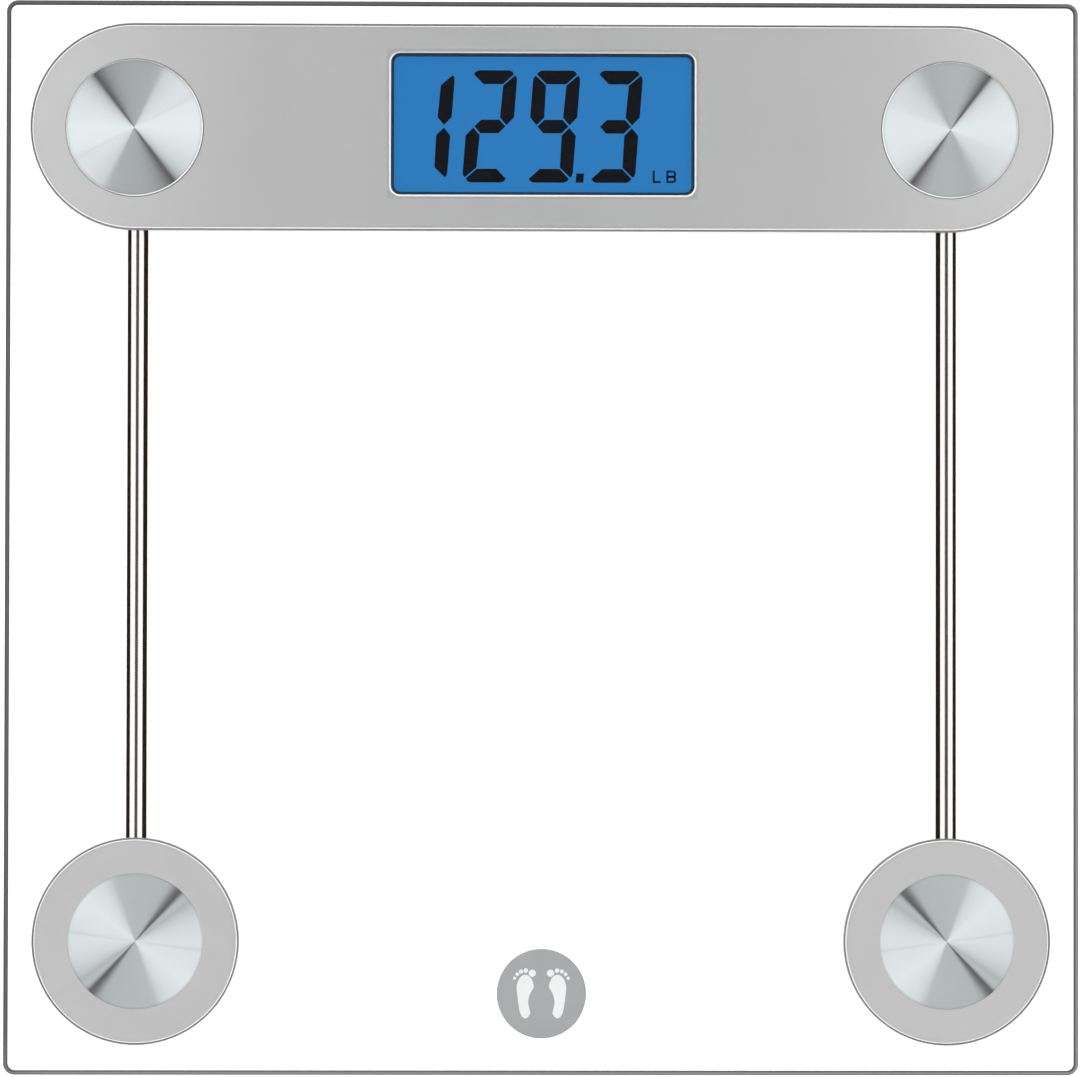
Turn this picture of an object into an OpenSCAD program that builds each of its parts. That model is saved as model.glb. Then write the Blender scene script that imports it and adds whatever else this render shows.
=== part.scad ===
// Glass platform weighing scale: a clear toughened plate on four load-cell feet.
// Millimetres. +Z is up, +Y is towards the display, and the origin is on the
// floor below the centre of the glass.

/* [Platform] */
// Side of the square glass plate
glass_side = 300; // [290:1:320]
// Thickness of the glass plate
glass_t = 6; // [5:0.5:8]
// Radius of the plate's four corners
glass_corner = 3.2; // [2.5:0.1:8]
// Width of the polished bevel round the plate's edges
glass_bevel = 1.2; // [0.5:0.1:1.6]
// Height of the standing surface above the floor
overall_h = 24; // [24:0.5:27]

/* [Layout] */
// Distance between the two front feet
front_span = 228.8; // [226:0.2:232]
// Distance between the two rear feet, and between the two tubes
rear_span = 226.8; // [226:0.2:230]
// Distance of the front feet in front of the plate's centre
front_y = 114.9; // [113:0.1:117]
// Distance of the rear feet behind the plate's centre
rear_back = 112.9; // [110:0.1:116]
// Diameter of the badge printed under the glass
badge_d = 25; // [15:1:30]
// Distance of the badge behind the plate's centre
badge_back = 127.4; // [120:0.1:132]

/* [Modules] */
// Radius of the display bar's round ends, half of its width
bar_r = 29; // [28.8:0.1:30]
// Radius of the two round rear modules
pod_r = 28.9; // [28.6:0.1:30]
// Wall thickness of the moulded housings
wall = 2; // [1.6:0.1:2.2]
// How far the housings' walls lean in from their roof to their base
wall_draft = 0.9; // [0:0.1:1]
// Radius of the bright discs in the display bar
front_disc_r = 19.2; // [17:0.1:20]
// How far the front discs sit behind the display bar's centre line
disc_back = 0.3; // [0:0.1:1]
// Radius of the bright discs in the rear modules
rear_disc_r = 18.9; // [17:0.1:20]
// Outer radius of the two tubes that carry the rear cables
rail_r = 2.85; // [2.6:0.05:2.9]

/* [Display] */
// Visible width of the display window
window_w = 83.4; // [70:0.1:84]
// Visible height of the display window
window_h = 38; // [30:0.1:39]
// Distance of the window's centre in front of the bar's centre
window_offset = 1; // [0:0.1:1.2]

/* [Feet] */
// Radius of a foot's anti-slip pad
pad_r = 13.5; // [12:0.1:13.6]
// Travel of a foot from free to its overload stop
foot_travel = 0.8; // [0.4:0.1:1]

/* [Hidden] */
$fn = 96;

// Places of the four feet: name, X, Y, and the side of the centre line
FEET = [
    ["front_left", -front_span / 2, front_y, -1],
    ["front_right", front_span / 2, front_y, 1],
    ["rear_left", -rear_span / 2, -rear_back, -1],
    ["rear_right", rear_span / 2, -rear_back, 1]
];
SIDES = [["left", -1], ["right", 1]];

eps = 0.01;              // overlap that keeps cuts and unions clean
fit = 0.1;               // gap round trim that is dropped into a seat

// Levels, from the glass down
z_glass = overall_h - glass_t;
bond_t = 0.25;
z_top = z_glass - bond_t;          // top of the housings and their trim
trim_t = 0.8;
z_seat = z_top - trim_t;           // seat that the trim lies in
roof_t = 1.6;
z_roof = z_seat - roof_t;          // inner face of a housing's roof
z_base = 6;                        // underside of the housings
cover_t = 1.8;
z_cover = z_base + cover_t;        // inner face of the lower covers
frame_t = 2;
z_frame = 11;                      // underside of the load cells
z_frame_top = z_frame + frame_t;

// Trim
rim = 0.3;                         // housing rim left round the trim
trim_bevel = 0.45;
disc_bevel = 0.2;
bezel_w = 1.4;                     // width of the bright frame round the window
window_corner = 2.3;
window_y = front_y + window_offset;

// Feet
cap_r = 16;
cap_flange_r = 17.8;
cap_flange_t = 1.4;
cap_gap = 0.4;                     // round the foot in the cover's opening
z_cap = 1.2;                       // lower edge of the foot cap
pad_t = 2.2;
boss_r = 4.2;                      // boss that pushes on the load beam
frame_side = 34;
frame_window = 26;
beam_gap = 0.3;
post_r = 2;
post_at = 14.5;                    // posts that clamp a load cell's corners

// Screws: shank, head, and the pillars that they go into
shank_r = 1.25;
pilot_r = 1.3;
head_r = 2.3;
head_t = 1.2;
pillar_r = 2.8;
z_pillar = z_cover + 0.8;          // where a pillar meets its seat on the cover
z_head = z_base + 1.4;             // top of a screw's head
screw_reach = 6;
pod_screw_at = 22.5;
bar_screws = [for (s = [-1, 1], at = [[front_span / 2 + 22.5, 0], [front_span / 2, 22.5],
                                     [55.9, 21], [55.9, -21]])
    [s * at[0], at[1]]];

// Cable tubes
rail_z = 13.5;
rail_bore = 2.1;
rail_seat = 3;                     // radius of the sockets in the housings

// Board and display stack
board_w = 105.6;
board_h = 47;
board_t = 1.6;
z_board = 10.2;
z_board_top = z_board + board_t;
board_posts = [for (s = [-1, 1], y = [18, -5]) [s * 50, y]];
lcd_w = 90;
lcd_h = 44.6;
lcd_glass_t = 1.1;
z_lcd = 14;
opening_w = lcd_w + 1;             // opening in the roof, round the LCD
opening_h = lcd_h + 1;

// Unit switch, on the underside of the board
switch_x = -28;
switch_travel = 2;

// Battery bay, open downwards and closed by a hinged door
bay_x = 74;
bay_half_w = 11;
bay_back = -22.2;
bay_front = 24;
bay_wall = 1.4;
z_bay = 11.5;                      // inner face of the bay's roof
door_half_w = 12;
door_back = -23.2;
door_t = 1.5;
hinge_y = 22.3;
hinge_z = 7.3;
hinge_r = 1.2;
pin_r = 0.8;
pin_play = 0.08;
cell_r = 10;
cell_t = 3.2;
cell_at = 10.6;
z_cell = 8.1;
clip_t = 0.4;
clip_at = cell_r + clip_t / 2;     // spring clips that press on the cells' rims
tag_at = cell_at + 3;
z_tag = z_bay + 2;                 // top of the solder tags above the bay

// ---------------------------------------------------------------- shapes

// Rectangle with true round corners
module rounded_rect(w, h, r) {
    square([w - 2 * r, h], center = true);
    square([w, h - 2 * r], center = true);
    for (x = [-1, 1], y = [-1, 1])
        translate([x * (w / 2 - r), y * (h / 2 - r)]) circle(r);
}

// Bar with round ends, given the distance between the ends' centres
module stadium(span, r) {
    square([span, 2 * r], center = true);
    for (x = [-1, 1]) translate([x * span / 2, 0]) circle(r);
}

// Stadium plate with a bevel round its top edge
module stadium_plate(span, r, t, bevel) {
    linear_extrude(t - bevel) stadium(span, r);
    translate([0, 0, t - bevel]) {
        rotate([90, 0, 90]) linear_extrude(span, center = true)
            polygon([[-r, 0], [r, 0], [r - bevel, bevel], [bevel - r, bevel]]);
        for (x = [-1, 1]) translate([x * span / 2, 0, 0])
            cylinder(h = bevel, r1 = r, r2 = r - bevel);
    }
}

// Stadium block whose sides lean in towards its base
module stadium_draft(span, r, t, lean) {
    rotate([90, 0, 90]) linear_extrude(span, center = true)
        polygon([[lean - r, 0], [r - lean, 0], [r, t], [-r, t]]);
    for (x = [-1, 1]) translate([x * span / 2, 0, 0])
        cylinder(h = t, r1 = r - lean, r2 = r);
}

// Round plate with a bevel round its top edge
module round_plate(r, t, bevel) {
    cylinder(h = t - bevel, r = r);
    translate([0, 0, t - bevel]) cylinder(h = bevel, r1 = r, r2 = r - bevel);
}

// Square plate with round corners, bevelled round both faces
module bevelled_square(side, t, r, bevel) {
    section = [[-side / 2, bevel], [bevel - side / 2, 0], [side / 2 - bevel, 0],
               [side / 2, bevel], [side / 2, t - bevel], [side / 2 - bevel, t],
               [bevel - side / 2, t], [-side / 2, t - bevel]];
    straight = side - 2 * r;
    for (turn = [0, 90]) rotate(turn)
        rotate([90, 0, 0]) linear_extrude(straight, center = true) polygon(section);
    for (x = [-1, 1], y = [-1, 1])
        translate([x * straight / 2, y * straight / 2, 0])
            rotate_extrude() polygon([[0, 0], [r - bevel, 0], [r, bevel],
                                      [r, t - bevel], [r - bevel, t], [0, t]]);
}

// Block placed by its centre in plan and by its lower and upper level
module block(x, y, w, h, z0, z1) {
    translate([x - w / 2, y - h / 2, z0]) cube([w, h, z1 - z0]);
}

// Cylinder placed by its axis in plan and by its lower and upper level
module column(x, y, r, z0, z1) {
    translate([x, y, z0]) cylinder(h = z1 - z0, r = r);
}

// ------------------------------------------------------- cables, by sweep

function unit(v) = v / norm(v);

// A route with each inner corner rounded by an arc of the given radius
function rounded_route(route, radius, steps = 4) = concat(
    [route[0]],
    [for (i = [1 : len(route) - 2], k = [0 : steps])
        let (a = unit(route[i - 1] - route[i]),
             b = unit(route[i + 1] - route[i]),
             half = acos(a * b) / 2,
             centre = route[i] + unit(a + b) * radius / sin(half),
             from = route[i] + a * radius / tan(half) - centre,
             to = route[i] + b * radius / tan(half) - centre,
             bend = 180 - 2 * half,
             u = k / steps)
        centre + (from * sin((1 - u) * bend) + to * sin(u * bend)) / sin(bend)],
    [route[len(route) - 1]]
);

// Direction of a route at each of its points
function directions(p) = [for (i = [0 : len(p) - 1])
    unit(p[min(i + 1, len(p) - 1)] - p[max(i - 1, 0)])];

// Sideways vectors carried along the route without twist
function carried(d, i = 0, last = [0.3, 0.2, 1]) = i == len(d) ? [] :
    let (u = unit(last - (last * d[i]) * d[i]))
    concat([u], carried(d, i + 1, u));

// Round cable along a route
module cable(route, r, bend, sides = 8) {
    p = rounded_route(route, bend);
    d = directions(p);
    u = carried(d);
    rings = len(p);
    points = [for (i = [0 : rings - 1], k = [0 : sides - 1])
        let (a = 360 * k / sides)
        p[i] + r * (cos(a) * u[i] + sin(a) * cross(d[i], u[i]))];
    ends = [[for (k = [0 : sides - 1]) k],
            [for (k = [sides - 1 : -1 : 0]) (rings - 1) * sides + k]];
    skin = [for (i = [0 : rings - 2], k = [0 : sides - 1])
        let (n = (k + 1) % sides)
        [i * sides + k, (i + 1) * sides + k, (i + 1) * sides + n, i * sides + n]];
    polyhedron(points = points, faces = concat(ends, skin));
}

// ---------------------------------------------------------------- platform

module glass_platform() {
    color("azure", 0.35) translate([0, 0, z_glass])
        bevelled_square(glass_side, glass_t, glass_corner, glass_bevel);
}

module printed_badge() {
    color("darkgray") column(0, -badge_back, badge_d / 2, z_glass - 0.16, z_glass - eps);
}

// Clear adhesive between the glass and the trim
module bond_films() {
    low = z_top + eps;
    high = z_glass - eps;
    color("white", 0.3) {
        translate([0, front_y, low]) linear_extrude(high - low) difference() {
            stadium(front_span, bar_r - 1.2);
            translate([0, window_offset])
                square([window_w + 4, window_h + 4], center = true);
        }
        for (s = SIDES)
            column(s[1] * rear_span / 2, -rear_back, pod_r - 1.2, low, high);
    }
}

// ------------------------------------------------------ shared by the modules

// Posts under a housing's roof that press on a load cell's corners
module roof_posts() {
    for (x = [-1, 1], y = [-1, 1])
        column(x * post_at, y * post_at, post_r, z_frame_top, z_roof + eps);
}

// Posts on a cover that hold a load cell up against the roof posts
module cover_posts() {
    for (x = [-1, 1], y = [-1, 1])
        column(x * post_at, y * post_at, post_r, z_cover - eps, z_frame);
}

// Screw pillar under a roof
module pillar(at) {
    difference() {
        column(at[0], at[1], pillar_r, z_pillar, z_roof + eps);
        column(at[0], at[1], pilot_r, z_pillar - eps, z_head + screw_reach + 0.4);
    }
}

// Thickened seat on a cover, before its hole is cut
module screw_seat(at) {
    column(at[0], at[1], pillar_r + 0.8, z_cover - eps, z_pillar);
}

// Hole and counterbore for one cover screw
module screw_hole(at) {
    column(at[0], at[1], pilot_r + 0.2, z_base - eps, z_pillar + eps);
    column(at[0], at[1], head_r + 0.3, z_base - eps, z_head);
}

// Pan-head screw with a cross recess, head down
module cover_screw(at) {
    difference() {
        union() {
            column(at[0], at[1], head_r, z_head - head_t, z_head);
            column(at[0], at[1], shank_r, z_head - eps, z_head + screw_reach);
        }
        for (turn = [0, 90]) translate([at[0], at[1], z_head - head_t - eps])
            rotate(turn) translate([-1.4, -0.3, 0]) cube([2.8, 0.6, 0.7]);
    }
}

// Socket for a cable tube, cut through a housing's wall towards +Y or -Y
module rail_socket(reach, side) {
    translate([0, side * (reach - wall / 2), rail_z]) rotate([90, 0, 0])
        cylinder(h = wall + 1.4, r = rail_seat, center = true);
}

// ---------------------------------------------------------------- display bar

module display_housing() {
    color("silver") translate([0, front_y, 0]) {
        difference() {
            union() {
                translate([0, 0, z_base])
                    stadium_draft(front_span, bar_r, z_roof - z_base, wall_draft);
                translate([0, 0, z_roof]) linear_extrude(z_top - z_roof)
                    stadium(front_span, bar_r);
            }
            translate([0, 0, z_base - eps]) linear_extrude(z_roof - z_base + eps)
                stadium(front_span, bar_r - wall);
            translate([0, 0, z_seat]) linear_extrude(trim_t + eps)
                stadium(front_span, bar_r - rim);
            translate([0, window_offset, z_roof - eps]) linear_extrude(roof_t + 1)
                rounded_rect(opening_w, opening_h, 1);
            for (s = SIDES) translate([s[1] * rear_span / 2, 0, 0])
                rail_socket(bar_r, -1);
        }
        for (at = bar_screws) pillar(at);
        for (s = SIDES) translate([s[1] * front_span / 2, 0, 0]) roof_posts();
        for (at = board_posts) difference() {
            column(at[0], at[1], 2, z_board_top, z_roof + eps);
            column(at[0], at[1], 0.8, z_board_top - eps, z_roof - 0.6);
        }
    }
}

// Walls and roof of the battery bay, in the bay's own place
module bay_shell() {
    length = bay_front - bay_back;
    middle = (bay_front + bay_back) / 2;
    difference() {
        union() {
            block(0, middle, 2 * (bay_half_w + bay_wall), length + 2 * bay_wall,
                  z_cover - eps, z_bay + 1.2);
            block(0, middle, 2 * bay_half_w + 6, length + 2.4, z_cover - eps,
                  z_cover + 1);
        }
        block(0, middle, 2 * bay_half_w, length, z_cover - 1, z_bay);
        block(-clip_at, -cell_at, 0.9, 7, z_bay - 1, z_bay + 2);
        block(0, tag_at, 4, 0.9, z_bay - 1, z_bay + 2);
    }
}

// Room for the door and its hinge pins, cut out of the cover
module door_room() {
    block(0, (bay_front + door_back - 0.3) / 2, 2 * door_half_w + 0.6,
          bay_front - door_back + 0.3, z_base - eps, z_cover + eps);
    block(0, (hinge_y + bay_front) / 2 - 0.5, 2 * door_half_w + 0.6,
          bay_front - hinge_y + 2, z_cover, hinge_z + hinge_r + 0.4);
    translate([0, hinge_y, hinge_z]) rotate([0, 90, 0])
        cylinder(h = 2 * door_half_w + 2.2, r = pin_r + pin_play, center = true);
    column(0, door_back - 1, 6, z_base - eps, z_base + 0.9);
}

module display_cover() {
    color("lightgray") translate([0, front_y, 0]) difference() {
        union() {
            translate([0, 0, z_base]) linear_extrude(cover_t)
                stadium(front_span, bar_r - wall - 0.2);
            for (at = bar_screws) screw_seat(at);
            for (s = SIDES) translate([s[1] * front_span / 2, 0, 0]) cover_posts();
            translate([bay_x, 0, 0]) bay_shell();
        }
        for (at = bar_screws) screw_hole(at);
        for (s = SIDES)
            column(s[1] * front_span / 2, 0, cap_r + cap_gap, z_base - 1, z_cover + 1);
        translate([bay_x, 0, 0]) door_room();
        block(switch_x, 0, 2 * switch_travel + 4, 3, z_base - eps, z_cover + eps);
        block(switch_x, 0, 14, 6, z_base - eps, z_base + 0.6);
    }
}

module display_trim() {
    color("gainsboro") translate([0, front_y, z_seat]) difference() {
        stadium_plate(front_span, bar_r - rim - fit, trim_t, trim_bevel);
        for (s = SIDES)
            column(s[1] * front_span / 2, -disc_back, front_disc_r + fit, -1, trim_t + 1);
        translate([0, window_offset, -1]) linear_extrude(trim_t + 2)
            rounded_rect(window_w + 2 * bezel_w + 2 * fit, window_h + 2 * bezel_w + 2 * fit,
                         window_corner + bezel_w / 2);
    }
}

// Bright frame round the window, with a flange that the trim holds down
module display_bezel() {
    low = z_lcd + 2 * lcd_glass_t + fit;
    color("white") translate([0, window_y, 0]) difference() {
        union() {
            translate([0, 0, low]) linear_extrude(z_top - low)
                rounded_rect(window_w + 2 * bezel_w, window_h + 2 * bezel_w,
                             window_corner + bezel_w / 2);
            translate([0, 0, low]) linear_extrude(z_seat - low)
                rounded_rect(window_w + 4.6, window_h + 4.6, window_corner + 1);
        }
        translate([0, 0, low - 1]) linear_extrude(4)
            rounded_rect(window_w, window_h, window_corner);
        for (turn = [0, 90]) bezel_slope(turn);
    }
}

// Slopes cut down towards the window along two opposite sides of the bezel
module bezel_slope(turn) {
    across = (turn == 0 ? window_h : window_w) / 2;
    along = turn == 0 ? window_w : window_h;
    drop = 0.6;
    rotate(turn) rotate([90, 0, 90]) linear_extrude(along, center = true)
        polygon([[-across - drop, z_top + eps], [-across + eps, z_top - drop],
                 [across - eps, z_top - drop], [across + drop, z_top + eps]]);
}

// -------------------------------------------------------- display and board

module lcd_cell() {
    color("steelblue") {
        block(0, window_y, lcd_w, lcd_h, z_lcd, z_lcd + lcd_glass_t);
        block(0, window_y, lcd_w, window_h + 2.8, z_lcd + lcd_glass_t,
              z_lcd + 2 * lcd_glass_t);
    }
}

module lcd_light_guide() {
    color("deepskyblue") block(0, window_y, 86, 39.6, z_board_top + 0.2, z_lcd - 0.1);
}

module lcd_holder() {
    color("white") difference() {
        block(0, window_y, lcd_w + 5, lcd_h + 2.4, z_board_top, z_roof - 0.05);
        block(0, window_y, lcd_w + 0.4, lcd_h + 0.4, z_board_top - 1, z_roof + 1);
    }
}

module lcd_contact_strips() {
    color("hotpink") for (y = [-1, 1])
        block(0, window_y + y * 21.1, 80, 1.4, z_board_top, z_lcd);
}

module display_board() {
    color("seagreen") difference() {
        block(0, window_y, board_w, board_h, z_board, z_board_top);
        for (at = board_posts)
            column(at[0], front_y + at[1], 1, z_board - 1, z_board_top + 1);
    }
}

// Parts soldered to the board: chip under a resin cap, crystal, capacitors and
// resistors below, and the backlight lamps above
module board_components() {
    color("dimgray") translate([0, window_y, 0]) {
        translate([12, 0, z_board - 1.3]) cylinder(h = 1.3, r1 = 4.5, r2 = 6.5);
        block(28, 8, 7, 3, z_board - 1.4, z_board);
        block(28, -8, 4, 4, z_board - 1, z_board);
        for (i = [0 : 4]) block(-8 + 4 * i, 14, 1.2, 2, z_board - 0.7, z_board);
        for (i = [0 : 3]) block(-10 + 5 * i, -14, 2, 1.2, z_board - 0.7, z_board);
        for (y = [-12, 0, 12]) block(-44.1, y, 1.2, 3, z_board_top, z_board_top + 1.3);
    }
}

module board_screws() {
    color("gray") for (at = board_posts) translate([0, front_y, 0]) {
        column(at[0], at[1], 1.7, z_board - 0.8, z_board);
        column(at[0], at[1], 0.75, z_board - eps, z_board + 4);
    }
}

module display_screws() {
    color("gray") translate([0, front_y, 0]) for (at = bar_screws) cover_screw(at);
}

// ---------------------------------------------------------------- unit switch

module unit_switch_body() {
    color("black") difference() {
        block(switch_x, front_y, 12, 5.4, z_cover + 0.2, z_board);
        block(switch_x, front_y, 2 * switch_travel + 3.2, 2, z_cover, z_board - 0.8);
    }
}

module unit_switch_knob() {
    color("black") {
        block(switch_x, front_y, 2.6, 1.4, z_base + 0.5, z_board - 1);
        difference() {
            block(switch_x, front_y, 3.4, 2.2, z_base + 0.5, z_cover - 0.2);
            for (i = [-1 : 1])
                block(switch_x + i, front_y, 0.4, 3, z_base + 0.4, z_base + 0.8);
        }
    }
}

// ---------------------------------------------------------------- battery

module battery_door() {
    finger_w = 8;
    finger_l = 7;
    color("lightgray") translate([bay_x, front_y, 0]) difference() {
        union() {
            block(0, (hinge_y + door_back) / 2, 2 * door_half_w, hinge_y - door_back,
                  z_base, z_base + door_t);
            for (y = [-cell_at, cell_at])
                block(0, y, 8, 3, z_base + door_t - eps, z_cell - 0.05);
            translate([0, hinge_y, hinge_z]) rotate([0, 90, 0]) {
                cylinder(h = 2 * door_half_w, r = hinge_r, center = true);
                cylinder(h = 2 * door_half_w + 2, r = pin_r, center = true);
            }
        }
        for (x = [-1, 1])
            block(x * (finger_w + 0.8) / 2, door_back + finger_l / 2 - 0.5, 0.8,
                  finger_l + 1, z_base - 1, z_base + door_t + 1);
        for (i = [1 : 3])
            block(0, door_back + 1.4 * i, finger_w - 1.6, 0.5, z_base - eps, z_base + 0.3);
    }
}

// Coin cell with its can and plus mark down, towards the door
module coin_cell(y) {
    step_t = 0.5;
    edge = 0.3;
    color("lightsteelblue") translate([bay_x, front_y + y, z_cell]) difference() {
        union() {
            cylinder(h = edge, r1 = cell_r - edge, r2 = cell_r);
            translate([0, 0, edge]) cylinder(h = cell_t - step_t - edge, r = cell_r);
            cylinder(h = cell_t, r = cell_r - 1.2);
        }
        for (turn = [0, 90]) rotate(turn)
            translate([-2, -0.3, -eps]) cube([4, 0.6, 0.15]);
    }
}

// Flat strip of a contact on the inside of the bay's roof
module roof_strip(x, y, w, h) {
    block(bay_x + x, front_y + y, w, h, z_cell + cell_t, z_bay);
}

module battery_contact_plus() {
    color("goldenrod")
        block(bay_x - clip_at, front_y - cell_at, clip_t, 6, z_cell + 0.5, z_tag);
}

module battery_contact_minus() {
    color("goldenrod") {
        roof_strip(0, cell_at, 7, 7);
        block(bay_x, front_y + tag_at, 3, clip_t, z_cell + cell_t, z_tag);
    }
}

// Contact that joins the front cell's can to the back cell's upper face
module battery_bridge() {
    strip_w = 1.6;
    strip_x = -clip_at + clip_t / 2 + 0.4 + strip_w / 2;
    color("goldenrod") {
        block(bay_x - clip_at, front_y + cell_at, clip_t, 6, z_cell + 0.5, z_bay);
        roof_strip((strip_x - clip_at) / 2, cell_at, strip_x + clip_at, 6);
        roof_strip(strip_x, 0, strip_w, 2 * cell_at + 6);
        roof_strip(strip_x / 2 + 1.5, -cell_at, 3 - strip_x, 6);
    }
}

module battery_leads() {
    lead_z = 13.6;
    lead_x = 50.5;
    color("red") for (tag = [[-clip_at - clip_t / 2, -cell_at], [-1.5, tag_at]])
        cable([[bay_x + tag[0], front_y + tag[1], lead_z],
               [lead_x, front_y + tag[1], lead_z],
               [lead_x, front_y + tag[1], z_board_top]], 0.6, 1.2);
}

// ---------------------------------------------------------------- rear modules

module rear_housing(s) {
    color("silver") translate([s * rear_span / 2, -rear_back, 0]) {
        difference() {
            union() {
                translate([0, 0, z_base])
                    cylinder(h = z_roof - z_base, r1 = pod_r - wall_draft, r2 = pod_r);
                column(0, 0, pod_r, z_roof, z_top);
            }
            column(0, 0, pod_r - wall, z_base - eps, z_roof);
            column(0, 0, pod_r - rim, z_seat, z_top + eps);
            rail_socket(pod_r, 1);
        }
        for (at = pod_screws()) pillar(at);
        roof_posts();
    }
}

function pod_screws() = [for (a = [180, 270, 360])
    pod_screw_at * [cos(a), sin(a)]];

module rear_cover(s) {
    color("lightgray") translate([s * rear_span / 2, -rear_back, 0]) difference() {
        union() {
            column(0, 0, pod_r - wall - 0.2, z_base, z_cover);
            for (at = pod_screws()) screw_seat(at);
            cover_posts();
        }
        for (at = pod_screws()) screw_hole(at);
        column(0, 0, cap_r + cap_gap, z_base - 1, z_cover + 1);
    }
}

module rear_trim(s) {
    color("gainsboro") translate([s * rear_span / 2, -rear_back, z_seat]) difference() {
        round_plate(pod_r - rim - fit, trim_t, trim_bevel);
        column(0, 0, rear_disc_r + fit, -1, trim_t + 1);
    }
}

module rear_screws(s) {
    color("gray") translate([s * rear_span / 2, -rear_back, 0])
        for (at = pod_screws()) cover_screw(at);
}

module rail(s) {
    start = -rear_back + pod_r - wall + 0.6;
    end = front_y - bar_r + wall - 0.6;
    color("whitesmoke") translate([s * rear_span / 2, start, rail_z]) rotate([-90, 0, 0])
        difference() {
            cylinder(h = end - start, r = rail_r);
            translate([0, 0, -1]) cylinder(h = end - start + 2, r = rail_bore);
        }
}

// ---------------------------------------------------------------- feet

module accent_disc(f) {
    front = f[2] > 0;
    color("white") translate([f[1], f[2] - (front ? disc_back : 0), z_seat])
        round_plate(front ? front_disc_r : rear_disc_r, trim_t, disc_bevel);
}

module foot_pad(f) {
    groove = 0.6;
    color("dimgray") translate([f[1], f[2], 0]) rotate_extrude() polygon([
        [0, 0], [5, 0], [5, groove], [6.2, groove], [6.2, 0], [9.4, 0],
        [9.4, groove], [10.6, groove], [10.6, 0], [pad_r - 0.6, 0],
        [pad_r, 0.6], [pad_r, pad_t], [0, pad_t]
    ]);
}

// Cup with a flange that keeps it in the cover, a boss and four ribs
module foot_cap(f) {
    seat_r = pad_r + fit;
    inner_r = cap_r - 1.6;
    floor_top = pad_t + 2;
    color("lightgray") translate([f[1], f[2], 0]) {
        rotate_extrude() polygon([
            [0, pad_t], [seat_r, pad_t], [seat_r, z_cap], [cap_r - 0.8, z_cap],
            [cap_r, z_cap + 0.8], [cap_r, z_cover], [cap_flange_r, z_cover],
            [cap_flange_r, z_cover + cap_flange_t], [inner_r, z_cover + cap_flange_t],
            [inner_r, floor_top], [boss_r, floor_top], [boss_r, z_frame], [0, z_frame]
        ]);
        for (a = [45 : 90 : 315]) rotate(a)
            translate([boss_r - 0.4, -0.6, floor_top - eps])
                cube([inner_r - boss_r + 0.8, 1.2, 4]);
    }
}

// Centre beam of the load cell, under a resin cap over its strain gauges. It
// bends from the frame; the hairline gap at its root stands for that bend.
module load_beam(f) {
    root = frame_window / 2 - beam_gap;
    color("lightslategray") translate([f[1], f[2], 0]) {
        block(0, root / 2, 8, root, z_frame, z_frame_top);
        column(0, 0, 6, z_frame, z_frame_top);
        block(0, 8.2, 6.4, 5, z_frame_top - eps, z_frame_top + 0.8);
    }
}

module load_frame(f) {
    color("slategray") translate([f[1], f[2], z_frame]) linear_extrude(frame_t)
        difference() {
            rounded_rect(frame_side, frame_side, 2);
            square(frame_window, center = true);
        }
}

// Cable from a load cell to the board; the rear ones go through the tubes
module sensor_cable(f) {
    s = f[3];
    x = f[1];
    z_cell_side = 14.2;
    lane = front_y - bar_r + wall + 1.6;
    color("white") if (f[2] > 0)
        cable([[x - s * 14.5, front_y + 8, z_cell_side], [s * 50, front_y + 8, z_cell_side],
               [s * 50, front_y + 8, z_board_top]], 1, 2);
    else
        cable([[x, f[2] + 14.5, z_cell_side], [x, f[2] + 19, z_cell_side],
               [x, f[2] + 23, rail_z], [x, lane, rail_z], [s * 50, lane, rail_z],
               [s * 50, front_y - 18, rail_z], [s * 50, front_y - 18, z_board_top]],
              1, 1.5);
}

// ---------------------------------------------------------------- assembly

glass_platform();
printed_badge();
bond_films();
display_housing();
display_cover();
display_trim();
display_bezel();
lcd_cell();
lcd_light_guide();
lcd_holder();
lcd_contact_strips();
display_board();
board_components();
board_screws();
unit_switch_body();
unit_switch_knob();
battery_door();
coin_cell(cell_at);  // coin_cell_front
coin_cell(-cell_at);  // coin_cell_back
battery_contact_plus();
battery_contact_minus();
battery_bridge();
battery_leads();
display_screws();
for (f = FEET) {
    foot_pad(f);
    foot_cap(f);
    load_beam(f);
    load_frame(f);
    accent_disc(f);
    sensor_cable(f);
}
for (s = SIDES) {
    rear_housing(s[1]);
    rear_cover(s[1]);
    rear_trim(s[1]);
    rear_screws(s[1]);
    rail(s[1]);
}
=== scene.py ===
"""Looks of a clear-glass weighing scale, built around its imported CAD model."""

import math

import bmesh
import bpy
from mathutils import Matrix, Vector


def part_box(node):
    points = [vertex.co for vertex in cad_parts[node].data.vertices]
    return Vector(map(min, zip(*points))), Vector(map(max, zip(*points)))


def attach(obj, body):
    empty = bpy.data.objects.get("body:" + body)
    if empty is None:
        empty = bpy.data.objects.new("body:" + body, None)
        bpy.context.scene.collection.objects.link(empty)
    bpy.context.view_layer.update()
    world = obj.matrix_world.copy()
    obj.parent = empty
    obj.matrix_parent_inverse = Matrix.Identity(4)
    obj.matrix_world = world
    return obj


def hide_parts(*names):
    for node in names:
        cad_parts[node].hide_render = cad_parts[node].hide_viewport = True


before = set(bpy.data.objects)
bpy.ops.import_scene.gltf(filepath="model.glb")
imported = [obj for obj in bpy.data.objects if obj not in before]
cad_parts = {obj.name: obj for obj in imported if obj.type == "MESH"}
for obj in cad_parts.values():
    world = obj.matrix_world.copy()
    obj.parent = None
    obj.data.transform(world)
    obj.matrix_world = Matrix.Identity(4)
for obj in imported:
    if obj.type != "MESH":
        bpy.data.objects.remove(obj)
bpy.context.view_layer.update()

MM = 0.001
SIDES = ("left", "right")
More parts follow.
